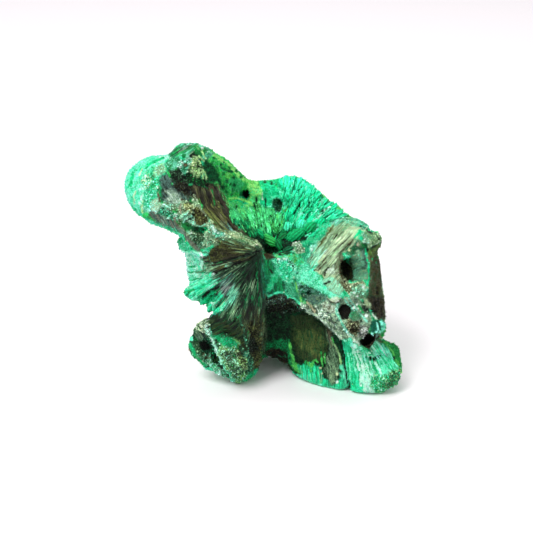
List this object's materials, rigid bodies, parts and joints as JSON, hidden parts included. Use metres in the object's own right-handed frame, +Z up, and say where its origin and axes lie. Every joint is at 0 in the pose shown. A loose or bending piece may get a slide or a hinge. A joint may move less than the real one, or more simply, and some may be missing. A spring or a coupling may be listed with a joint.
{
  "type": "malachite specimen",
  "caption": "Fibrous malachite hand specimen: a knobbed arm, a hollow velvet bowl, a fan of broken fibres, a broken tube and a fluted nose, on worn feet.",
  "frame": {"origin": "on the resting plane, under the middle of the specimen's bounding box", "axes": "+X to the specimen's right, along its longest side; +Y to its lumpy back, away from the broken front; +Z up"},
  "size_m": [0.0838, 0.0532, 0.0789],
  "materials": {
    "malachite_stone": "dull silky green mineral, velvety outside, brown and fibrous where broken"
  },
  "bodies": {
    "root": {"malachite": "malachite_stone"}
  },
  "joints": []
}
